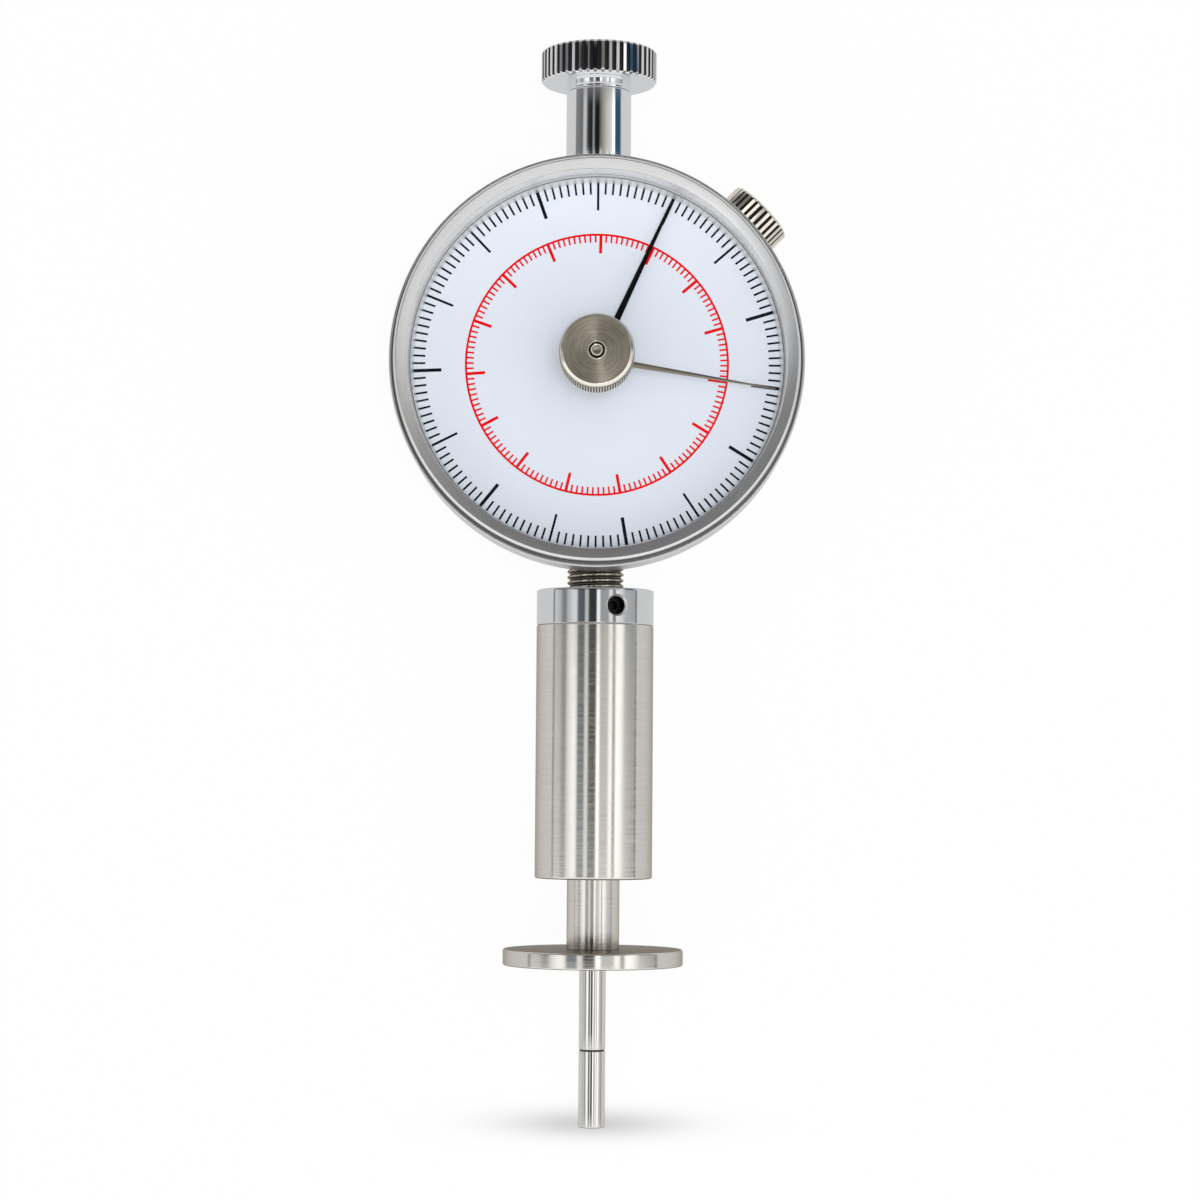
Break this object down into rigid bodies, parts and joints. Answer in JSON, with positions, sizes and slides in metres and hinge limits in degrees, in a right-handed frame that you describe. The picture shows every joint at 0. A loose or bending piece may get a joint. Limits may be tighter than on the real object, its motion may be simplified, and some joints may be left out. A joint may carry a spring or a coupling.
{
  "type": "fruit firmness tester",
  "caption": "Hand-held fruit firmness tester: sprung probe with splash disc, spring barrel and round dial case with black and red scales, driving hand and resettable peak hand.",
  "frame": {"origin": "centre of the back cover's rear face, on the dial's axis", "axes": "+Z is the dial's outward normal, +Y runs along the plunger from the probe to the end knob, +X is to the right of the dial seen from the front"},
  "size_m": [0.0534, 0.142, 0.033],
  "materials": {
    "case_steel": "satin",
    "screw_steel": "plain",
    "dark_thread": "oiled",
    "polished_chrome": "polished",
    "black_screw": "black oxide",
    "satin_steel": "turned satin",
    "spring_steel": "drawn",
    "polished_steel": "polished",
    "bezel_metal": "satin plated",
    "crystal_clear": "clear dome",
    "dial_white": "satin enamel",
    "black_print": "printed",
    "red_print": "printed",
    "black_hand": "black",
    "nickel": "turned nickel",
    "movement_brass": "plain"
  },
  "bodies": {
    "root": {"case_body": "case_steel", "back_cover": "case_steel", "cover_screws": "screw_steel", "neck": "dark_thread", "neck_nut": "screw_steel", "collar": "polished_chrome", "set_screw": "black_screw", "barrel": "satin_steel", "spring_washer": "screw_steel", "main_spring": "spring_steel", "stem": "polished_chrome", "stem_nut": "screw_steel", "stem_bush": "movement_brass", "rack_guide": "movement_brass", "rear_plate": "movement_brass", "middle_plate": "movement_brass", "front_plate": "movement_brass", "lower_spacers": "movement_brass", "middle_spacers": "movement_brass", "upper_spacers": "movement_brass", "movement_screws": "screw_steel", "hairspring": "spring_steel", "hairspring_stud": "movement_brass", "snap_ring": "screw_steel", "brake_pin": "screw_steel"},
    "plunger": {"plunger_rod": "satin_steel", "probe": "polished_steel", "splash_disc": "satin_steel", "rack_rod": "satin_steel", "guide_pin": "screw_steel"},
    "rack_pinion": {"pinion_arbor": "polished_steel", "transfer_wheel": "movement_brass"},
    "drive_hand": {"centre_arbor": "polished_steel", "hairspring_collet": "movement_brass", "driving_hand": "black_hand"},
    "bezel_assembly": {"bezel": "bezel_metal", "crystal": "crystal_clear", "dial_ring": "movement_brass", "dial_plate": "dial_white", "outer_scale": "black_print", "inner_scale": "red_print"},
    "peak_pointer": {"reset_knob": "nickel", "reset_spindle": "nickel", "friction_washer": "movement_brass", "peak_hand": "nickel"},
    "locking_screw": {"lock_screw": "nickel"},
    "stem_cap": {"end_knob": "polished_chrome"}
  },
  "joints": [
    {"name": "plunger_slide", "type": "slide", "parent": "root", "child": "plunger", "axis": [0, 1, 0], "range_m": [0, 0.008], "stiffness_N_per_m": 1650, "springref_m": -0.00057, "deforming": ["main_spring"]},
    {"name": "rack_pinion_spin", "type": "hinge", "parent": "root", "child": "rack_pinion", "pos_m": [-0.0048, -0.00475, 0.012], "axis": [0, 0, 1], "range_deg": [0, 143.5]},
    {"name": "drive_hand_spin", "type": "hinge", "parent": "root", "child": "drive_hand", "pos_m": [0, 0, 0.02], "axis": [0, 0, -1], "range_deg": [0, 340.5]},
    {"name": "bezel_turn", "type": "hinge", "parent": "root", "child": "bezel_assembly", "pos_m": [0, 0, 0.02], "axis": [0, 0, 1], "continuous": true},
    {"name": "peak_hand_turn", "type": "hinge", "parent": "bezel_assembly", "child": "peak_pointer", "pos_m": [0, 0, 0.0275], "axis": [0, 0, -1], "range_deg": [-72, 265]},
    {"name": "lock_screw_turn", "type": "hinge", "parent": "root", "child": "locking_screw", "pos_m": [0.01838, 0.01838, 0.012], "axis": [0.7071, 0.7071, 0], "range_deg": [-360, 360]},
    {"name": "end_knob_turn", "type": "hinge", "parent": "root", "child": "stem_cap", "pos_m": [0, 0.0375, 0.012], "axis": [0, 1, 0], "continuous": true}
  ],
  "couplings": [
    {"joint": "rack_pinion_spin", "follows": "plunger_slide", "rad_per_m": 312.5},
    {"joint": "drive_hand_spin", "follows": "plunger_slide", "rad_per_m": 742.19}
  ]
}
